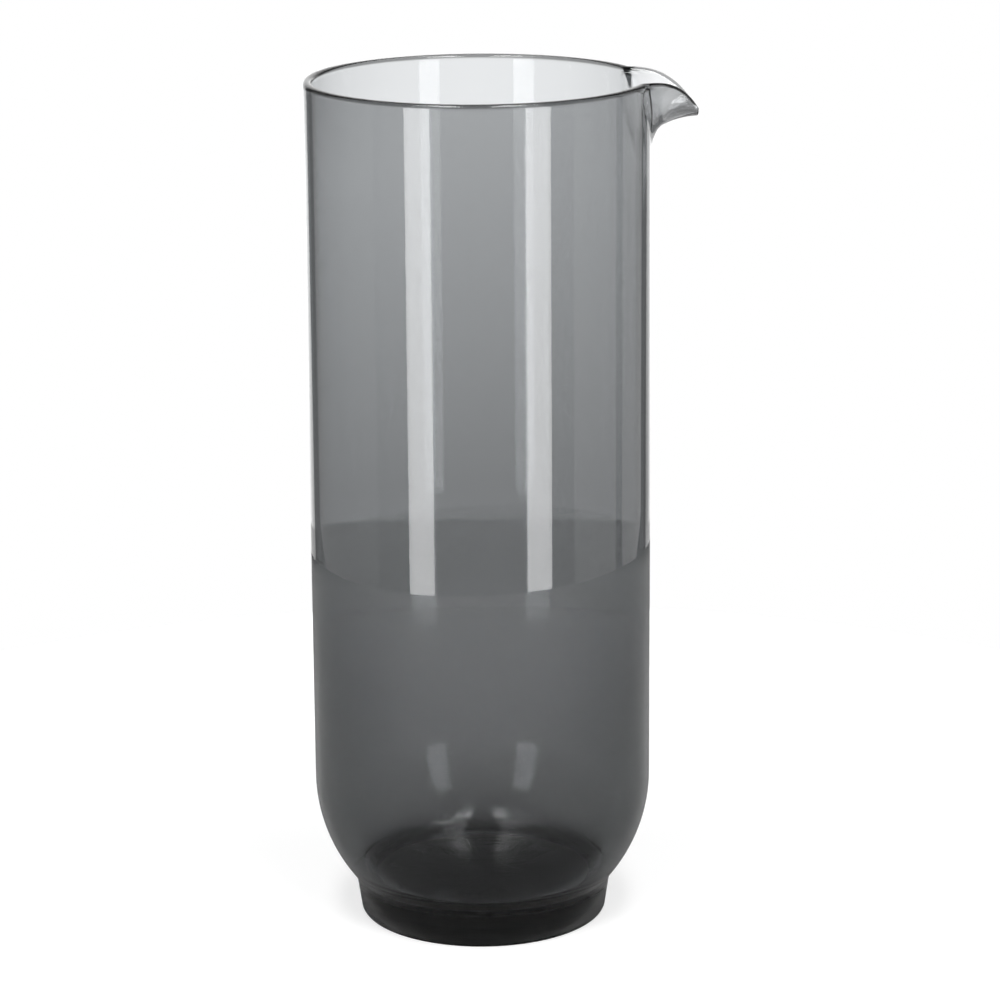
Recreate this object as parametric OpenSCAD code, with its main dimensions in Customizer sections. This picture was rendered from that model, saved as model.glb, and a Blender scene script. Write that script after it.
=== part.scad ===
// Glass carafe with a pulled pouring spout, a solid foot and a satin lower half.
// Millimetres, +Z up, base centre at the origin, spout towards +X.

/* [Body] */
// Outside diameter of the straight part of the glass
body_diameter = 95; // [85:0.5:115]
// Height from the base to the rim
body_height = 239; // [190:1:290]
// Wall thickness of the body
wall = 2.75; // [2:0.05:4]
// Rounding of the two edges of the rim
rim_round = 1.2; // [0.3:0.05:1.3]
// Height at which the straight wall starts to curve in
shoulder_height = 40.7; // [34:0.1:60]
// Glass between the inside floor and the top of the foot
floor_thickness = 2.6; // [1.5:0.1:5]
// Radius inside, between the floor and the bowl
floor_fillet = 12; // [4:0.5:16]

/* [Foot] */
// Diameter of the foot at its base
foot_diameter = 69.5; // [58:0.5:76]
// Height of the foot up to the neck
foot_height = 8.9; // [5:0.1:14]
// Slope of the foot's side from upright, in degrees
foot_draft = 8.3; // [2:0.1:14]
// Hollow radius of the neck between the foot and the bowl
neck_fillet = 7.1; // [4:0.1:12]
// Rounding of the foot's lower edge
foot_edge = 1.3; // [0.5:0.1:2.5]

/* [Spout] */
// Width of the spout where it leaves the rim
spout_width = 35.6; // [26:0.1:46]
// How far the tip stands out from the body
spout_reach = 13.5; // [8:0.1:20]
// Depth below the rim at which the underside meets the body
spout_depth = 18.6; // [14:0.1:26]
// Depth of the tip's top edge below the rim
tip_drop = 9.8; // [6:0.1:12]
// Thickness of the tip's end
tip_thickness = 1.7; // [0.6:0.1:2.5]
// Width of the tip's end
tip_width = 2.4; // [1.5:0.1:6]
// Fullness of the spout from above: 1 has straight sides, less is rounder
tip_shape = 0.6; // [0.5:0.01:1]
// Wall thickness of the spout
spout_wall = 1.9; // [1.2:0.1:3]

/* [Satin coat] */
// Height of the upper edge of the satin coat
coat_top = 106; // [60:1:160]
// Thickness of the satin coat
coat_thickness = 0.15; // [0.1:0.05:0.4]

/* [Hidden] */
$fn = 128;

body_r = body_diameter / 2;
bore_r = body_r - wall;
foot_r = foot_diameter / 2;
floor_height = foot_height + floor_thickness;
rim_r = min(rim_round, wall / 2 - 0.05);

// Neck circle, tangent to the foot's side at the top of the foot
neck_x = foot_r + foot_height * tan(foot_draft) + neck_fillet * cos(foot_draft);
neck_z = foot_height - neck_fillet * sin(foot_draft);

// Shoulder arc, tangent to the straight wall and to the neck circle
inset = neck_x - body_r;
rise = shoulder_height - neck_z;
shoulder_r = (inset * inset + rise * rise - neck_fillet * neck_fillet) / (2 * (neck_fillet - inset));
shoulder_x = body_r - shoulder_r;
shoulder_turn = atan2(rise, neck_x - shoulder_x);

// Floor fillet, tangent to the inside floor and to the inside of the shoulder arc
bowl_r = shoulder_r - wall;
fillet_z = floor_height + floor_fillet;
fillet_x = shoulder_x + sqrt(pow(bowl_r - floor_fillet, 2) - pow(shoulder_height - fillet_z, 2));
fillet_turn = atan2(shoulder_height - fillet_z, fillet_x - shoulder_x);

// Faces of the coat, just off the glass so that the two stay apart
coat_seat = 0.1;
coat_face = coat_seat + coat_thickness;

// Rounded lower edge of the foot
edge_x = foot_r - foot_edge * (1 - sin(foot_draft)) / cos(foot_draft);

// Spout stations, from inside the wall to the tip
tip_x = body_r + spout_reach;
root_y = spout_width / 2;
root_x = sqrt(body_r * body_r - root_y * root_y);
back_x = root_x - 2 * wall;
side_slope = tip_shape * (root_y - tip_width / 2) / (tip_x - root_x);
side_wall = spout_wall * sqrt(1 + side_slope * side_slope);
tip_under = tip_drop + tip_thickness;
cut_over = 3;
wall_rings = 4;
rings = 24;
sides = 20;
arc_step = 2.5;

// Points along an arc, from one angle to another, leaving out the first ones on request
function arc(x, z, r, from, to, skip = 0) = let (n = ceil(abs(to - from) / arc_step))
    [for (i = [skip : n]) let (a = from + (to - from) * i / n) [x + r * cos(a), z + r * sin(a)]];

// Outer outline from the top of the foot to the straight wall, moved out by a skin's thickness
function outline(skin) = concat(
    arc(neck_x, neck_z, neck_fillet - skin, 180 - foot_draft, 180 - shoulder_turn),
    arc(shoulder_x, shoulder_height, shoulder_r + skin, -shoulder_turn, 0, 1));

// Point on the foot's side at a height, moved out by a skin's thickness
function side_point(z, skin) = [foot_r + z * tan(foot_draft) + skin / cos(foot_draft), z];

function reversed(list) = [for (i = [len(list) - 1 : -1 : 0]) list[i]];

// Spout measures along its length: share of the way out, half width, top edge and underside
function share(x) = max(0, (x - root_x) / (tip_x - root_x));
function half_width(x) = tip_width / 2 + (root_y - tip_width / 2) * pow(max(0, 1 - share(x)), tip_shape);
function top_edge(x) = body_height - tip_drop * pow(share(x), 3);
function run(x) = min(1, max(0, (tip_x - x) / spout_reach));
function underside(x) = body_height - tip_under - (spout_depth - tip_under) * (1 - sqrt(1 - run(x) * run(x)));
function station(i) = i < wall_rings ? back_x + (body_r - back_x) * i / wall_rings
    : body_r + spout_reach * (1 - cos(180 * (i - wall_rings) / (rings - wall_rings))) / 2;

// Trough measures inside the spout, thinner towards the tip so that it stays open there
function trough_width(x) = max(half_width(x) - side_wall, 0.4 * half_width(x));
function trough_floor(x) = underside(x) + min(spout_wall, 0.7 * (top_edge(x) - underside(x)));

// Curved cross-section of the spout's outside or of its trough, from one side to the other
function section(x, w, low) = [for (j = [0 : sides]) let (t = 2 * j / sides - 1)
    [x, w * t, low + (top_edge(x) - low) * t * t]];

// Faces between rings of points, with the two ends left open
function skin_faces(count, n) = [for (i = [0 : count - 1]) for (j = [0 : n - 1]) let (k = (j + 1) % n) each [
    [i * n + j, (i + 1) * n + j, i * n + k],
    [i * n + k, (i + 1) * n + j, (i + 1) * n + k]]];

// Faces of an end ring that runs along one curve and back along another
function end_faces(start, n, flip) = [for (j = [0 : n / 2 - 2]) let (a = start + j, b = start + n - 1 - j)
    each flip ? [[a, b, a + 1], [a + 1, b, b - 1]] : [[a, a + 1, b], [a + 1, b - 1, b]]];

// Curved shell of the spout, from inside the wall to the tip
module beak() {
    n = 2 * (sides + 1);
    points = [for (i = [0 : rings]) let (x = station(i)) each concat(
        section(x, half_width(x), underside(x)),
        reversed(section(x, trough_width(x), trough_floor(x))))];
    polyhedron(points, concat(skin_faces(rings, n), end_faces(0, n, false), end_faces(rings * n, n, true)));
}

// Space of the trough where it goes through the body's wall
module wall_notch() {
    n = sides + 3;
    count = wall_rings + 3;
    points = [for (i = [0 : count]) let (x = station(i), w = trough_width(x), z = body_height + cut_over)
        each concat(section(x, w, trough_floor(x)), [[x, w, z], [x, -w, z]])];
    polyhedron(points, concat(skin_faces(count, n),
        [[for (j = [0 : n - 1]) j]], [[for (j = [n - 1 : -1 : 0]) count * n + j]]));
}

module glass_body() {
    color([0.36, 0.38, 0.40, 0.5]) difference() {
        rotate_extrude() polygon(concat(
            [[0, foot_height]],
            outline(0),
            arc(body_r - rim_r, body_height - rim_r, rim_r, 0, 90),
            arc(bore_r + rim_r, body_height - rim_r, rim_r, 90, 180),
            arc(shoulder_x, shoulder_height, bowl_r, 0, -fillet_turn),
            arc(fillet_x, fillet_z, floor_fillet, -fillet_turn, -90, 1),
            [[0, floor_height]]));
        wall_notch();
    }
}

module pouring_spout() {
    color([0.46, 0.48, 0.50, 0.5]) difference() {
        beak();
        cylinder(r = body_r, h = body_height + cut_over);
    }
}

module solid_foot() {
    color([0.10, 0.10, 0.11, 0.9]) rotate_extrude() polygon(concat(
        [[0, 0]],
        arc(edge_x, foot_edge, foot_edge, -90, -foot_draft),
        [side_point(foot_height, 0), [0, foot_height]]));
}

module satin_coat() {
    color([0.26, 0.27, 0.28, 0.6]) rotate_extrude() polygon(concat(
        [side_point(foot_edge, coat_face)],
        outline(coat_face),
        [[body_r + coat_face, coat_top], [body_r + coat_seat, coat_top]],
        reversed(outline(coat_seat)),
        [side_point(foot_edge, coat_seat)]));
}

glass_body();
pouring_spout();
solid_foot();
satin_coat();
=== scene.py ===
import math

import bmesh
import bpy
from mathutils import Matrix, Vector


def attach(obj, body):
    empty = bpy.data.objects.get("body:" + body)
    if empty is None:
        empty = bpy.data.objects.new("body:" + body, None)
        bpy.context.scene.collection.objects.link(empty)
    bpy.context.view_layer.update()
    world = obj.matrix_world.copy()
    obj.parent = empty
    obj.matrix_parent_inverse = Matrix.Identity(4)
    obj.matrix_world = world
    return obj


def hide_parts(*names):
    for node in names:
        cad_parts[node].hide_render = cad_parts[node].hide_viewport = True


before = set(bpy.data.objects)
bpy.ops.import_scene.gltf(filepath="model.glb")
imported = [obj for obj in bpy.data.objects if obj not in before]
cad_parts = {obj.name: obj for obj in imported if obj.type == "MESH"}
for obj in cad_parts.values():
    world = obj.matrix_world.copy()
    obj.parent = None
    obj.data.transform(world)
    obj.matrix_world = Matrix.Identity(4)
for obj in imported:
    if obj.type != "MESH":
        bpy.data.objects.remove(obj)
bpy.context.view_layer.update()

# Sizes of the carafe, in millimetres as in the part's source
BODY_R = 47.5
HEIGHT = 239.0
WALL = 2.75
RIM_ROUND = 1.2
SHOULDER_Z = 40.7
FLOOR_Z = 11.5
FLOOR_FILLET = 12.0
FOOT_R = 34.75
FOOT_H = 8.9
FOOT_DRAFT = math.radians(8.3)
NECK_FILLET = 7.1
FOOT_EDGE = 1.3
SPOUT_WIDTH = 35.6
SPOUT_REACH = 13.5
SPOUT_DEPTH = 18.6
TIP_DROP = 9.8
TIP_THICKNESS = 1.7
TIP_WIDTH = 2.4
TIP_SHAPE = 0.6
SPOUT_WALL = 1.9
COAT_TOP = 106.0

# The coat's stand-off from the glass and its thickness, thinner than in the part's source
COAT_SEAT = 0.03
COAT_THICKNESS = 0.12

# Places that follow from those sizes
BORE_R = BODY_R - WALL
NECK_X = FOOT_R + FOOT_H * math.tan(FOOT_DRAFT) + NECK_FILLET * math.cos(FOOT_DRAFT)
NECK_Z = FOOT_H - NECK_FILLET * math.sin(FOOT_DRAFT)
INSET = NECK_X - BODY_R
RISE = SHOULDER_Z - NECK_Z
SHOULDER_R = (INSET ** 2 + RISE ** 2 - NECK_FILLET ** 2) / (2 * (NECK_FILLET - INSET))
SHOULDER_X = BODY_R - SHOULDER_R
SHOULDER_TURN = math.atan2(RISE, NECK_X - SHOULDER_X)
BOWL_R = SHOULDER_R - WALL
FILLET_Z = FLOOR_Z + FLOOR_FILLET
FILLET_X = SHOULDER_X + math.sqrt((BOWL_R - FLOOR_FILLET) ** 2 - (SHOULDER_Z - FILLET_Z) ** 2)
FILLET_TURN = math.atan2(SHOULDER_Z - FILLET_Z, FILLET_X - SHOULDER_X)
EDGE_X = FOOT_R - FOOT_EDGE * (1 - math.sin(FOOT_DRAFT)) / math.cos(FOOT_DRAFT)
TIP_X = BODY_R + SPOUT_REACH
ROOT_Y = SPOUT_WIDTH / 2
ROOT_X = math.sqrt(BODY_R ** 2 - ROOT_Y ** 2)
ROOT_ANGLE = math.asin(ROOT_Y / BODY_R)
TIP_UNDER = TIP_DROP + TIP_THICKNESS

# Layout of the meshes: the finely divided sector round the spout and the band below its rim, the rest, the coat
SECTOR = math.radians(30)
SECTOR_STEPS = 120
REST_STEPS = 210
BAND = 26.0
BAND_ROWS = 34
COAT_STEPS = 256
ARC_STEP = math.radians(2.5)
FILLET_STEP = math.radians(4)
EDGE_STEP = math.radians(10)
RIM_STEP = math.radians(11.25)

# Upper edge of the coat: how far from it its waves ease off, half its gap to bare glass, and its rounding
COAT_EASE = 20.0
COAT_GAP = 0.04
COAT_LIP = 0.05

# Spout: share of its columns that run along its sides, how they crowd towards the tip, and the least knee
TIP_SHARE = 0.9
SIDE_CROWD = 1.6
LEAST_KNEE = 0.5

# Glass of the spout: most of the trough's rounding that it may take, and the share out at which it is thinnest
TROUGH_SHARE = 0.75
DRAWN_SHARE = 0.4

# Where the thickness is measured level: this far below the rim, and up to this share of the way to the middle
LEVEL_RIM = 5.0
LEVEL_SHARE = 0.6

# Softening of the creases: rounds, strength, and the part that each round takes, which shrinks from both sides
SOFTEN = 30
SOFTEN_FACTOR = 0.9
SOFTEN_TOP = 0.4
SOFTEN_TOP_STEP = 0.14
SOFTEN_REACH = 7.0
SOFTEN_REACH_STEP = 0.16
SOFTEN_SECTOR = 0.97
SOFTEN_MARGIN = 1.0

# Softening of the trough, from this far out
TROUGH_SOFTEN = 10
TROUGH_FACTOR = 0.5
TROUGH_START = 52.0

# Metres in a millimetre, and how near two measures count as the same
MM = 0.001
NEAR = 0.01

# The set, in metres: the table's radius
TABLE_R = 0.30

# Distance, half turn and edges of the backdrop and of the front card
BACKDROP_R = 1.5
BACKDROP_TURN = math.radians(30)
BACKDROP_LOW = -1.0
BACKDROP_HIGH = 2.0
CARD_R = 0.27
CARD_TURN = math.radians(52)
CARD_HIGH = 0.6
SHEET_STEPS = 48

# Strip lights in front: places across, place in depth and height, width, height and brightness
STRIP_PLACES = (-0.171, 0.177)
STRIP_Y = -0.2324
STRIP_Z = 0.129
STRIP_WIDTH = 0.0824
STRIP_HEIGHT = 0.213
STRIP_LEVEL = 6.5

# Bars overhead, one on each side, that shine straight down
BAR_X = 0.141
BAR_Y = -0.215
BAR_Z = 0.75
BAR_WIDTH = 0.13
BAR_LENGTH = 0.45
BAR_LEVEL = 10.8

# Dim panels on the left and right: place across, near and far end, and brightness
SIDE_PANELS = (
    (-0.33, -0.137, 0.049, 0.3),
    (-0.33, 0.052, 0.31, 0.3),
    (0.33, -0.174, 0.045, 0.58),
    (0.33, 0.088, 0.32, 0.58),
)
PANEL_HEIGHT = 0.5

# Camera: focal length in pixels of a picture of that width, place, dip below level and lean
FOCAL_PIXELS = 3734
PICTURE_WIDTH = 1000
SENSOR_WIDTH = 36.0
CAMERA_PLACE = (0.00554, -1.010, 0.391)
CAMERA_DIP = math.radians(15.01)
CAMERA_LEAN = math.radians(-0.40)

# The set is turned against the part, because the photographed spout points a little away from the camera
TURN = math.radians(-4.8)
SET_TURN = Matrix.Rotation(TURN, 4, "Z")

WHITE = (1, 1, 1, 1)


class Signal:
    """A node's output, so that shader maths is written as plain expressions."""

    def __init__(self, finish, socket):
        self.finish = finish
        self.socket = socket

    def maths(self, operation, a, b):
        return self.finish.add("ShaderNodeMath", {"operation": operation}, {0: a, 1: b})

    def __add__(self, other):
        return self.maths("ADD", self, other)

    def __radd__(self, other):
        return self.maths("ADD", other, self)

    def __sub__(self, other):
        return self.maths("SUBTRACT", self, other)

    def __rsub__(self, other):
        return self.maths("SUBTRACT", other, self)

    def __mul__(self, other):
        return self.maths("MULTIPLY", self, other)

    def __rmul__(self, other):
        return self.maths("MULTIPLY", other, self)

    def __truediv__(self, other):
        return self.maths("DIVIDE", self, other)

    def at_least(self, other):
        return self.maths("MAXIMUM", self, other)

    def at_most(self, other):
        return self.maths("MINIMUM", self, other)


def rise(signal, low, high):
    """How far a value has come from a low mark to a high one, from 0 to 1."""
    return ((signal - low) / (high - low)).at_most(1.0).at_least(0.0)


class Finish:
    """The node tree of a material or of the world, with one way to add any node."""

    def __init__(self, holder):
        self.holder = holder
        holder.use_nodes = True
        self.tree = holder.node_tree
        self.tree.nodes.clear()

    def add(self, kind, settings=None, inputs=None, output=0):
        node = self.tree.nodes.new(kind)
        for key, value in (settings or {}).items():
            setattr(node, key, value)
        for key, value in (inputs or {}).items():
            if isinstance(value, Signal):
                self.tree.links.new(value.socket, node.inputs[key])
            else:
                node.inputs[key].default_value = value
        return Signal(self, node.outputs[output])

    def light_path(self, output):
        return self.add("ShaderNodeLightPath", output=output)

    def show(self, surface, volume=None, output="ShaderNodeOutputMaterial"):
        out = self.tree.nodes.new(output)
        self.tree.links.new(surface.socket, out.inputs["Surface"])
        if volume is not None:
            self.tree.links.new(volume.socket, out.inputs["Volume"])
        return self.holder


def material(name):
    """An empty material, ready for its nodes."""
    return Finish(bpy.data.materials.new(name))


def smoked_glass():
    """Smoke-grey glass with its tint in the depth: sharp where it is clear, partly hazy under the coat."""
    f = material("smoked_glass")
    place = f.add("ShaderNodeTexCoord", output="Object")
    swirl = f.add("ShaderNodeTexNoise", None,
                  {"Vector": place, "Scale": 22.0, "Detail": 1.0, "Roughness": 0.4})
    wave = f.add("ShaderNodeBump", None, {"Strength": 0.02, "Distance": 0.002, "Height": swirl})
    coated = f.add("ShaderNodeAttribute", {"attribute_name": "coated"}, output="Fac")
    behind = f.add("ShaderNodeNewGeometry", output="Backfacing")
    gloss = f.add("ShaderNodeFresnel", None, {"IOR": 1.5, "Normal": wave})
    sharp = f.add("ShaderNodeBsdfRefraction", None, {"Color": WHITE, "Roughness": 0.0, "IOR": 1.5})
    hazy = f.add("ShaderNodeBsdfRefraction", None, {"Color": WHITE, "Roughness": 0.2, "IOR": 1.5})
    bend = f.add("ShaderNodeMixShader", None, {0: coated * 0.35, 1: sharp, 2: hazy})
    mirror = f.add("ShaderNodeBsdfGlossy", None, {"Color": WHITE, "Roughness": 0.0, "Normal": wave})
    share = gloss * (1 - coated * (1 - behind))
    surface = f.add("ShaderNodeMixShader", None, {0: share, 1: bend, 2: mirror})
    depth = f.add("ShaderNodeVolumeAbsorption", None, {"Color": (0.0, 0.025, 0.044, 1), "Density": 271.0})
    return f.show(surface, depth)


def satin_lacquer():
    """Thin clear coat with a fine grain, which veils the glass a little and spreads what it mirrors."""
    f = material("satin_lacquer")
    place = f.add("ShaderNodeTexCoord", output="Object")
    grain = f.add("ShaderNodeTexNoise", None,
                  {"Vector": place, "Scale": 900.0, "Detail": 3.0, "Roughness": 0.6})
    cloud = f.add("ShaderNodeTexNoise", None,
                  {"Vector": place, "Scale": 30.0, "Detail": 2.0, "Roughness": 0.5})
    rough = grain * 0.08 + cloud * 0.06 + 0.46
    outside = 1 - f.add("ShaderNodeNewGeometry", output="Backfacing")
    gloss = f.add("ShaderNodeFresnel", None, {"IOR": 1.2})
    clear = f.add("ShaderNodeBsdfTransparent", None, {"Color": WHITE})
    milk = f.add("ShaderNodeBsdfDiffuse", None, {"Color": (0.6, 0.6, 0.6, 1)})
    sheen = f.add("ShaderNodeBsdfGlossy", None, {"Color": (0.85, 0.85, 0.85, 1), "Roughness": rough})
    veil = f.add("ShaderNodeMixShader", None, {0: outside * 0.018, 1: clear, 2: milk})
    surface = f.add("ShaderNodeMixShader", None, {0: outside * gloss.at_most(0.25), 1: veil, 2: sheen})
    return f.show(surface)


def arc(x, z, r, start, end, step=ARC_STEP):
    """Points along an arc of the outline, from one angle to another."""
    n = max(2, math.ceil(abs(end - start) / step))
    angles = [start + (end - start) * i / n for i in range(n + 1)]
    return [(x + r * math.cos(a), z + r * math.sin(a)) for a in angles]


def line(a, b, n):
    """Points along a straight stretch of the outline, in so many steps."""
    return [(a[0] + (b[0] - a[0]) * i / n, a[1] + (b[1] - a[1]) * i / n) for i in range(n + 1)]


def joined(*stretches):
    """One outline from its stretches, without the points that two of them share."""
    out = []
    for stretch in stretches:
        for point in stretch:
            if not out or math.dist(point, out[-1]) > 1e-4:
                out.append(point)
    return out


def shoulder(skin):
    """Outer outline of neck and bowl, moved out by a skin's thickness."""
    return joined(
        arc(NECK_X, NECK_Z, NECK_FILLET - skin, math.pi - FOOT_DRAFT, math.pi - SHOULDER_TURN),
        arc(SHOULDER_X, SHOULDER_Z, SHOULDER_R + skin, -SHOULDER_TURN, 0))


def side_point(z, skin):
    """Point on the foot's side at a height, moved out by a skin's thickness."""
    return (FOOT_R + z * math.tan(FOOT_DRAFT) + skin / math.cos(FOOT_DRAFT), z)


def spun(outline, turns, closed):
    """A mesh that is an outline spun round the body's axis, in stretches of so many steps each."""
    bm = bmesh.new()
    start = turns[0][0]
    cos, sin = math.cos(start), math.sin(start)
    verts = [bm.verts.new((r * cos * MM, r * sin * MM, z * MM)) for r, z in outline]
    pairs = list(zip(verts, verts[1:]))
    if closed:
        pairs.append((verts[-1], verts[0]))
    geom = verts + [bm.edges.new(p) for p in pairs]
    for begin, end, steps in turns:
        done = bmesh.ops.spin(bm, geom=geom, cent=(0, 0, 0), axis=(0, 0, 1), angle=end - begin,
                              steps=steps, use_merge=False, use_duplicate=False)
        geom = done["geom_last"]
    bmesh.ops.remove_doubles(bm, verts=bm.verts, dist=1e-6)
    bmesh.ops.dissolve_degenerate(bm, dist=1e-7, edges=bm.edges)
    bmesh.ops.recalc_face_normals(bm, faces=bm.faces)
    return bm


def placed(name, bm, finish):
    """A mesh as an object at the origin, with one material."""
    mesh = bpy.data.meshes.new(name)
    bm.to_mesh(mesh)
    bm.free()
    piece = bpy.data.objects.new(name, mesh)
    bpy.context.collection.objects.link(piece)
    mesh.materials.append(finish)
    return piece


def made(name, bm, finish):
    """A finished piece of the carafe: smooth, and riding on the body."""
    for face in bm.faces:
        face.smooth = True
    piece = placed(name, bm, finish)
    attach(piece, "root")
    return piece


def on_set(name, bm, finish):
    """A finished part of the set, which isn't part of the carafe."""
    piece = placed(name, bm, finish)
    return piece


def coat_edge(angle):
    """How far the coat's hand-masked upper edge lies above its level height, round the body."""
    a = angle + math.radians(95)
    sway = 1.3 * math.sin(a) - 0.14 * math.cos(a) - 0.8 * math.cos(2 * a)
    return 1.1 + sway + 0.12 * math.sin(5 * a + 1.0)


def share_out(x):
    """Share of the way from the spout's root to its tip."""
    return max(0.0, (x - ROOT_X) / (TIP_X - ROOT_X))


def half_width(x):
    """Half the spout's width along its length."""
    return TIP_WIDTH / 2 + (ROOT_Y - TIP_WIDTH / 2) * max(0.0, 1 - share_out(x)) ** TIP_SHAPE


def top_edge(x):
    """Height of the spout's upper edge along its length."""
    return HEIGHT - TIP_DROP * share_out(x) ** 3


def underside(x):
    """Height of the spout's underside along its length, in its middle."""
    run = min(1.0, max(0.0, (TIP_X - x) / SPOUT_REACH))
    return HEIGHT - TIP_UNDER - (SPOUT_DEPTH - TIP_UNDER) * (1 - math.sqrt(1 - run * run))


def wall_at(x):
    """Thickness of the glass round the spout, thinner towards the tip so that the trough stays open there."""
    bottom_round = half_width(x) ** 2 / (2 * (top_edge(x) - underside(x)))
    drawn = min(1.0, share_out(x) / DRAWN_SHARE)
    return min(WALL + (SPOUT_WALL - WALL) * drawn, TROUGH_SHARE * bottom_round)


def pulled(angle, d):
    """Where a point of the outer wall goes when the spout is pulled, and how far it then is from the crease."""
    x_wall, y = BODY_R * math.cos(angle), BODY_R * math.sin(angle)
    t_wall = max(-1.0, min(1.0, y / half_width(x_wall)))
    low = underside(x_wall)
    joint = max(HEIGHT - low - (top_edge(x_wall) - low) * t_wall ** 2, 0.0)
    even = (d - RIM_ROUND) / (BAND - RIM_ROUND)
    fold = (HEIGHT - low - RIM_ROUND) / (BAND - RIM_ROUND)
    knee = max(joint, RIM_ROUND + LEAST_KNEE)
    if d <= RIM_ROUND:
        moved = d
    elif even <= fold:
        moved = RIM_ROUND + (knee - RIM_ROUND) * even / fold
    else:
        moved = knee + (BAND - knee) * (even - fold) / (1 - fold)
    beyond = min(1.0, max(0.0, (abs(angle) - ROOT_ANGLE) / (SECTOR - ROOT_ANGLE)))
    moved = d + (moved - d) * (1 - beyond) ** 2 * (1 + 2 * beyond)
    q = 1 - moved / knee if joint > RIM_ROUND + LEAST_KNEE else 0.0
    if q <= 0 or abs(y) >= half_width(x_wall):
        aside = max(0.0, abs(angle) - ROOT_ANGLE) * BODY_R
        return Vector((x_wall, y, HEIGHT - moved)), math.hypot(aside, max(0.0, moved - knee))
    out = max(0.0, 1 - abs(angle) / ROOT_ANGLE)
    sign = 1 if angle >= 0 else -1
    if out < TIP_SHARE:
        along = 1 - (1 - out / TIP_SHARE) ** SIDE_CROWD
        x_end, t_end = ROOT_X + (TIP_X - ROOT_X) * along, sign
    else:
        x_end, t_end = TIP_X, sign * (1 - (out - TIP_SHARE) / (1 - TIP_SHARE))
    x = x_wall + (max(x_end, x_wall) - x_wall) * q
    t = t_wall + (t_end - t_wall) * q
    low = underside(x)
    place = Vector((x, half_width(x) * t, low + (top_edge(x) - low) * t * t))
    return place, (place - Vector((x_wall, y, HEIGHT - joint))).length


def outside_of_glass(radius, z):
    """True for a point on the outside of wall, bowl, neck or foot, and not for one inside or underneath."""
    if radius > BODY_R - NEAR:
        return True
    from_shoulder = math.hypot(radius - SHOULDER_X, z - SHOULDER_Z)
    inside = z > FLOOR_Z - 0.1 and from_shoulder < SHOULDER_R - WALL / 2
    return z < SHOULDER_Z and radius > FOOT_R - 0.2 and not inside


def glass_outline():
    """Outline of the glass, from the middle of its underside round the rim to the middle of its floor."""
    wall_low = HEIGHT - BAND
    return joined(
        line((0, 0), (EDGE_X, 0), 8),
        arc(EDGE_X, FOOT_EDGE, FOOT_EDGE, -math.pi / 2, -FOOT_DRAFT, EDGE_STEP),
        line(side_point(FOOT_EDGE, 0), side_point(FOOT_H, 0), 6),
        shoulder(0),
        line((BODY_R, SHOULDER_Z), (BODY_R, COAT_TOP - COAT_EASE), 6),
        line((BODY_R, COAT_TOP - COAT_EASE), (BODY_R, COAT_TOP - COAT_GAP), 6),
        line((BODY_R, COAT_TOP + COAT_GAP), (BODY_R, COAT_TOP + COAT_EASE), 6),
        line((BODY_R, COAT_TOP + COAT_EASE), (BODY_R, wall_low), 8),
        line((BODY_R, wall_low), (BODY_R, HEIGHT - RIM_ROUND), BAND_ROWS),
        arc(BODY_R - RIM_ROUND, HEIGHT - RIM_ROUND, RIM_ROUND, 0, math.pi / 2, RIM_STEP),
        line((BODY_R - RIM_ROUND, HEIGHT), (BORE_R + RIM_ROUND, HEIGHT), 3),
        arc(BORE_R + RIM_ROUND, HEIGHT - RIM_ROUND, RIM_ROUND, math.pi / 2, math.pi, RIM_STEP),
        line((BORE_R, HEIGHT - RIM_ROUND), (BORE_R, wall_low), BAND_ROWS),
        line((BORE_R, wall_low), (BORE_R, SHOULDER_Z), 14),
        arc(SHOULDER_X, SHOULDER_Z, BOWL_R, 0, -FILLET_TURN),
        arc(FILLET_X, FILLET_Z, FLOOR_FILLET, -FILLET_TURN, -math.pi / 2, FILLET_STEP),
        line((FILLET_X, FLOOR_Z), (0, FLOOR_Z), 8))


def soften(bm, verts, factor):
    """One round of smoothing of some points."""
    bmesh.ops.smooth_vert(bm, verts=verts, factor=factor, use_axis_x=True, use_axis_y=True, use_axis_z=True)


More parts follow.
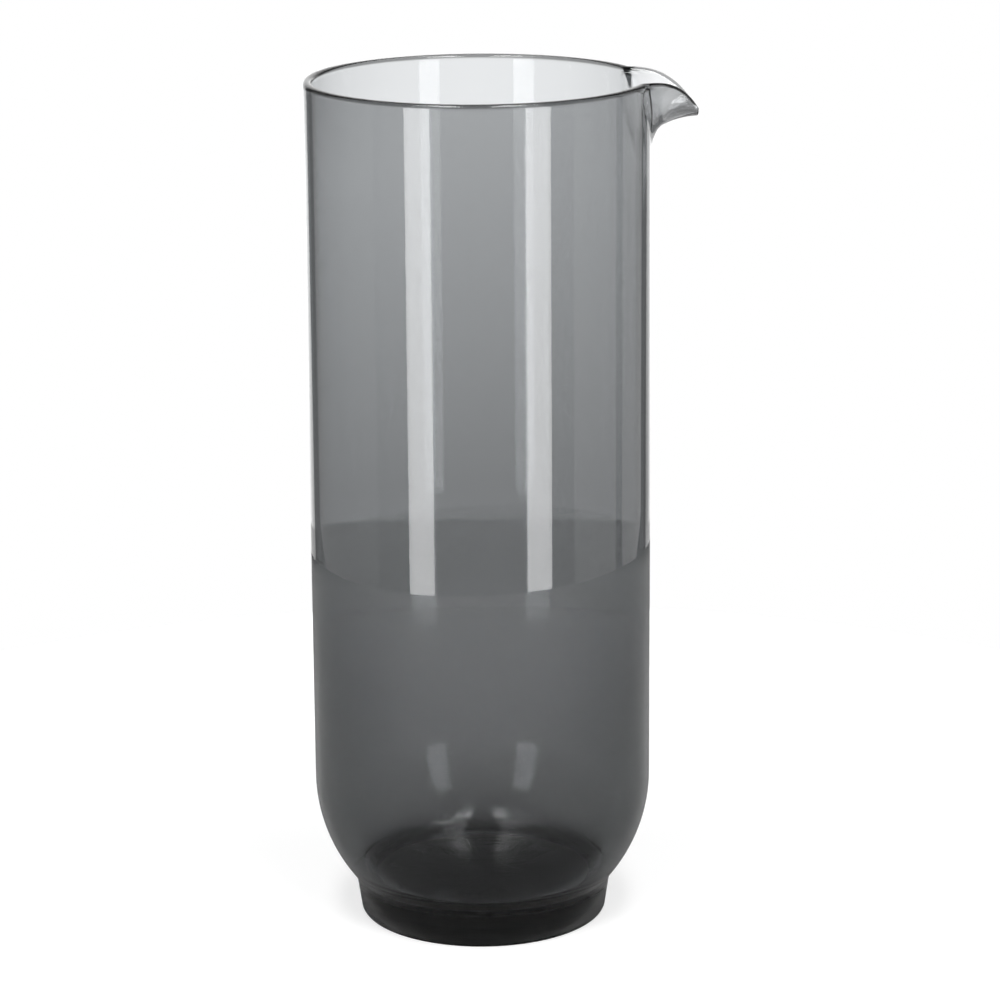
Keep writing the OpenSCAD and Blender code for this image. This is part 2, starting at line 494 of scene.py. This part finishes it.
def glass():
    """Wall, bowl, spout and foot in one skin, as the glass was blown, with the spout pulled out of the rim."""
    turns = [(-SECTOR, SECTOR, SECTOR_STEPS), (SECTOR, 2 * math.pi - SECTOR, REST_STEPS)]
    bm = spun(glass_outline(), turns, False)
    coated = bm.verts.layers.float.new("coated")
    outer_face, soft, inner_face = {}, [], []
    for v in bm.verts:
        x, y, z = (c / MM for c in v.co)
        radius, angle, d = math.hypot(x, y), math.atan2(y, x), HEIGHT - z
        outer = outside_of_glass(radius, z)
        v[coated] = 1.0 if outer and FOOT_EDGE - 0.05 < z < COAT_TOP else 0.0
        if outer and abs(z - COAT_TOP) < COAT_EASE:
            v.co.z += coat_edge(angle) * (1 - abs(z - COAT_TOP) / COAT_EASE) * MM
        if abs(angle) > SECTOR + 1e-4 or d > BAND + NEAR or radius < BORE_R - NEAR:
            continue
        place, crease = pulled(angle, d)
        v.co = place * MM
        column = round((angle + SECTOR) / (2 * SECTOR) * SECTOR_STEPS)
        row = round((d - RIM_ROUND) / (BAND - RIM_ROUND) * BAND_ROWS)
        if not outer:
            inner_face.append((v, max(0, row), column, BODY_R - radius))
            continue
        outer_face[row, column] = v
        below_rim = RIM_ROUND + SOFTEN_TOP < d < BAND - SOFTEN_MARGIN
        if below_rim and abs(angle) < SECTOR * SOFTEN_SECTOR:
            soft.append((v, d, crease))
    for step in range(SOFTEN):
        top = RIM_ROUND + SOFTEN_TOP + SOFTEN_TOP_STEP * step
        reach = SOFTEN_REACH - SOFTEN_REACH_STEP * step
        soften(bm, [v for v, d, crease in soft if d > top and crease < reach], SOFTEN_FACTOR)
    for v, row, column, depth in inner_face:
        face = outer_face[row, column]
        across = outer_face[row, min(column + 1, SECTOR_STEPS)].co - outer_face[row, max(column - 1, 0)].co
        down = outer_face[min(row + 1, BAND_ROWS), column].co - outer_face[max(row - 1, 0), column].co
        inward = across.cross(down).normalized()
        below = (face.co - outer_face[0, column].co).length / MM
        central = 1 - abs(column * 2 / SECTOR_STEPS - 1) * SECTOR / ROOT_ANGLE
        towards_tip = (central - LEVEL_SHARE) / (TIP_SHARE - LEVEL_SHARE)
        inward.z *= min(1.0, max(below / LEVEL_RIM, towards_tip, 0.0))
        base = v.co if row == 0 and depth < WALL - NEAR else face.co
        v.co = base + inward.normalized() * (depth / WALL * wall_at(face.co.x / MM) * MM)
    below_lip = [(v, outer_face[row, column]) for v, row, column, depth in inner_face if row > 0]
    trough = [v for v, face in below_lip if face.co.x > TROUGH_START * MM]
    for _ in range(TROUGH_SOFTEN):
        soften(bm, trough, TROUGH_FACTOR)
    piece = made("carafe_glass", bm, smoked_glass())
    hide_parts("glass_body", "pouring_spout", "solid_foot")
    return piece


def coat():
    """The satin coat on the outside of the lower half, a thin closed skin that ends at a hand-masked edge."""
    inner_r = BODY_R + COAT_SEAT
    outer_r = inner_r + COAT_THICKNESS
    ease_low = COAT_TOP - COAT_EASE
    lip_low = COAT_TOP - COAT_LIP
    outer = joined(
        [side_point(FOOT_EDGE, COAT_SEAT + COAT_THICKNESS)],
        shoulder(COAT_SEAT + COAT_THICKNESS),
        line((outer_r, SHOULDER_Z), (outer_r, ease_low), 4),
        line((outer_r, ease_low), (outer_r, lip_low), 6),
        [(outer_r - COAT_LIP, COAT_TOP)])
    inner = joined(
        [(inner_r, COAT_TOP)],
        line((inner_r, lip_low), (inner_r, ease_low), 6),
        line((inner_r, ease_low), (inner_r, SHOULDER_Z), 4),
        list(reversed(shoulder(COAT_SEAT))),
        [side_point(FOOT_EDGE, COAT_SEAT)])
    bm = spun(joined(outer, inner), [(0, 2 * math.pi, COAT_STEPS)], True)
    for v in bm.verts:
        x, y, z = (c / MM for c in v.co)
        if z > ease_low:
            v.co.z += coat_edge(math.atan2(y, x)) * (1 - (COAT_TOP - z) / COAT_EASE) * MM
    piece = made("satin_lacquer_coat", bm, satin_lacquer())
    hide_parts("satin_coat")
    return piece


def pale_table():
    """Pale matt top that keeps the shadow: its colour grades from darker at and in front of the carafe to paler
    at the back, which is painted shade for the carafe's shadow on the table behind it; white to the camera and
    in reflections, but with painted shade in reflections close to the foot.
    """
    f = material("pale_table")
    place = f.add("ShaderNodeTexCoord", output="Object")
    back = f.add("ShaderNodeSeparateXYZ", None, {0: place}, output="Y")
    away = f.add("ShaderNodeVectorMath", {"operation": "LENGTH"}, {0: place}, output="Value")
    mirrored = f.light_path("Is Glossy Ray") * (1 - f.light_path("Is Transmission Ray"))
    # Painted shade: in reflections the white lift fades out from 0.14 m to 0.04 m from the middle, so the foot
    # mirrors a darker table as if in its contact shadow
    white_share_with_painted_shade = (f.light_path("Is Camera Ray") + mirrored * rise(away, 0.04, 0.14)).at_most(1.0)
    # Painted shade: the table's colour darkens from 0.30 m behind the middle to 0.05 m, standing in for the
    # carafe's shadow on the table behind it, which the glass shows
    pale = 0.54 + 0.32 * rise(back, 0.05, 0.30)
    matt = f.add("ShaderNodeBsdfDiffuse", None, {"Color": pale, "Roughness": 0.5})
    lift = f.add("ShaderNodeEmission", None, {"Color": white_share_with_painted_shade, "Strength": 0.65})
    return f.show(f.add("ShaderNodeAddShader", None, {0: matt, 1: lift}))


def white_backdrop():
    """Backdrop that is plain white to the camera, and graded in height and across where the glass shows it."""
    f = material("white_backdrop")
    place = f.add("ShaderNodeTexCoord", output="Object")
    facing = f.add("ShaderNodeMapping", None, {"Vector": place, "Rotation": (0, 0, -TURN)})
    up = f.add("ShaderNodeSeparateXYZ", None, {0: facing}, output="Z")
    right = f.add("ShaderNodeSeparateXYZ", None, {0: facing}, output="X")
    left = -1 * right
    mirrored = f.light_path("Is Glossy Ray") * (1 - f.light_path("Is Transmission Ray"))
    # The top is bright only in a first reflection, which the rim shows, and dim in those from inside the bowl
    on_rim = mirrored * (1 - rise(f.light_path("Ray Depth"), 1.0, 2.0))
    top_fall = 1.71 - 0.95 * on_rim
    height_grade = 0.95 + 0.86 * rise(up, -0.27, 0.0) - top_fall * rise(up, 0.20, 0.52)
    side_lift = 0.35 * rise(left, 0.02, 0.34) + 0.15 * rise(right, 0.05, 0.29)
    side_fall = 0.5 * rise(left, 0.45, 0.75) + 0.55 * rise(right, 0.35, 0.62)
    side_grade = 1.0 + side_lift * (1 - rise(up, -0.05, 0.01)) - side_fall
    below = 0.65
    level = below + (height_grade * side_grade - below) * rise(up, -0.2965, -0.2935)
    lit = f.add("ShaderNodeEmission", None, {"Color": level, "Strength": 1.0})
    white = f.add("ShaderNodeEmission", None, {"Color": WHITE, "Strength": 1.0})
    return f.show(f.add("ShaderNodeMixShader", None, {0: f.light_path("Is Camera Ray"), 1: lit, 2: white}))


def front_white():
    """White in place of the lamps for a look straight through the glass, and open to every other ray."""
    f = material("front_white")
    mirrored = f.light_path("Ray Depth") - f.light_path("Transmission Depth")
    straight = f.light_path("Is Transmission Ray") * (1 - mirrored.at_least(0.0).at_most(1.0))
    open_air = f.add("ShaderNodeBsdfTransparent", None, {"Color": WHITE})
    white = f.add("ShaderNodeEmission", None, {"Color": WHITE, "Strength": 0.8})
    return f.show(f.add("ShaderNodeMixShader", None, {0: straight, 1: open_air, 2: white}))


def room():
    """The room round the set: white to the camera, pale where the glass looks level or down at it, else dim."""
    f = Finish(bpy.data.worlds.new("room"))
    way = f.add("ShaderNodeTexCoord", output="Generated")
    up = f.add("ShaderNodeSeparateXYZ", None, {0: way}, output="Z")
    pale = 0.65 * f.light_path("Is Transmission Ray") * (1 - rise(up, 0.0, 0.1))
    level = 0.15 + pale + 0.85 * f.light_path("Is Camera Ray")
    glow = f.add("ShaderNodeBackground", None, {"Color": level, "Strength": 1.0})
    return f.show(glow, output="ShaderNodeOutputWorld")


def table_top():
    """The round pale table top that the carafe stands on."""
    bm = bmesh.new()
    bmesh.ops.create_circle(bm, cap_ends=True, radius=TABLE_R, segments=256, matrix=SET_TURN)
    return on_set("table_top", bm, pale_table())


def curved_sheet(name, middle, radius, half_turn, low, high, finish):
    """An upright sheet of the set, curved round the carafe on both sides of its middle."""
    bm = bmesh.new()
    ends = [bm.verts.new((0, radius, z)) for z in (low, high)]
    seam = ends + [bm.edges.new(ends)]
    start = SET_TURN @ Matrix.Rotation(middle - half_turn, 4, "Z")
    bmesh.ops.rotate(bm, verts=ends, cent=(0, 0, 0), matrix=start)
    bmesh.ops.spin(bm, geom=seam, cent=(0, 0, 0), axis=(0, 0, 1), angle=2 * half_turn,
                   steps=SHEET_STEPS, use_merge=False, use_duplicate=False)
    return on_set(name, bm, finish)


def strip_light(name, place, aim, width, height, radiance):
    """A soft box: a rectangular lamp that faces its aim, given by the brightness of its face."""
    data = bpy.data.lights.new(name, "AREA")
    data.shape = "RECTANGLE"
    data.size = width
    data.size_y = height
    data.energy = radiance * math.pi * width * height
    lamp = bpy.data.objects.new(name, data)
    bpy.context.collection.objects.link(lamp)
    where = SET_TURN @ Vector(place)
    way = (SET_TURN @ Vector(aim)) - where
    lamp.matrix_world = Matrix.Translation(where) @ way.to_track_quat("-Z", "Y").to_matrix().to_4x4()
    return lamp


def studio():
    """Table top, backdrop, front card, two strip lights in front, dim panels at the sides and bars overhead."""
    table_top()
    curved_sheet("backdrop", 0, BACKDROP_R, BACKDROP_TURN, BACKDROP_LOW, BACKDROP_HIGH, white_backdrop())
    curved_sheet("front_card", math.pi, CARD_R, CARD_TURN, 0, CARD_HIGH, front_white())
    for x in STRIP_PLACES:
        strip_light("strip_light", (x, STRIP_Y, STRIP_Z), (0, 0, STRIP_Z),
                    STRIP_WIDTH, STRIP_HEIGHT, STRIP_LEVEL)
    for x, near, far, level in SIDE_PANELS:
        y, z = (near + far) / 2, PANEL_HEIGHT / 2
        panel = strip_light("side_panel", (x, y, z), (0, y, z), far - near, PANEL_HEIGHT, level)
        panel.visible_transmission = False
    for x in (-BAR_X, BAR_X):
        # The aim is a little off the upright, which settles which way the bar lies
        strip_light("top_bar", (x, BAR_Y, BAR_Z), (x, BAR_Y + 0.001, 0), BAR_WIDTH, BAR_LENGTH, BAR_LEVEL)
    bpy.context.scene.world = room()


def camera():
    """Camera at the photograph's place, height and lean."""
    data = bpy.data.cameras.new("camera")
    data.sensor_width = SENSOR_WIDTH
    data.lens = FOCAL_PIXELS * SENSOR_WIDTH / PICTURE_WIDTH
    data.clip_start = 0.01
    eye = bpy.data.objects.new("camera", data)
    bpy.context.collection.objects.link(eye)
    tilt = Matrix.Rotation(math.pi / 2 - CAMERA_DIP, 4, "X") @ Matrix.Rotation(CAMERA_LEAN, 4, "Z")
    eye.matrix_world = SET_TURN @ Matrix.Translation(CAMERA_PLACE) @ tilt
    bpy.context.scene.camera = eye


glass()
coat()
studio()
camera()

scene = bpy.context.scene
scene.view_settings.view_transform = "Standard"
scene.cycles.max_bounces = 24
scene.cycles.transmission_bounces = 20
scene.cycles.glossy_bounces = 8
scene.cycles.transparent_max_bounces = 24
scene.cycles.blur_glossy = 0.0
scene.cycles.caustics_reflective = False
scene.cycles.caustics_refractive = False
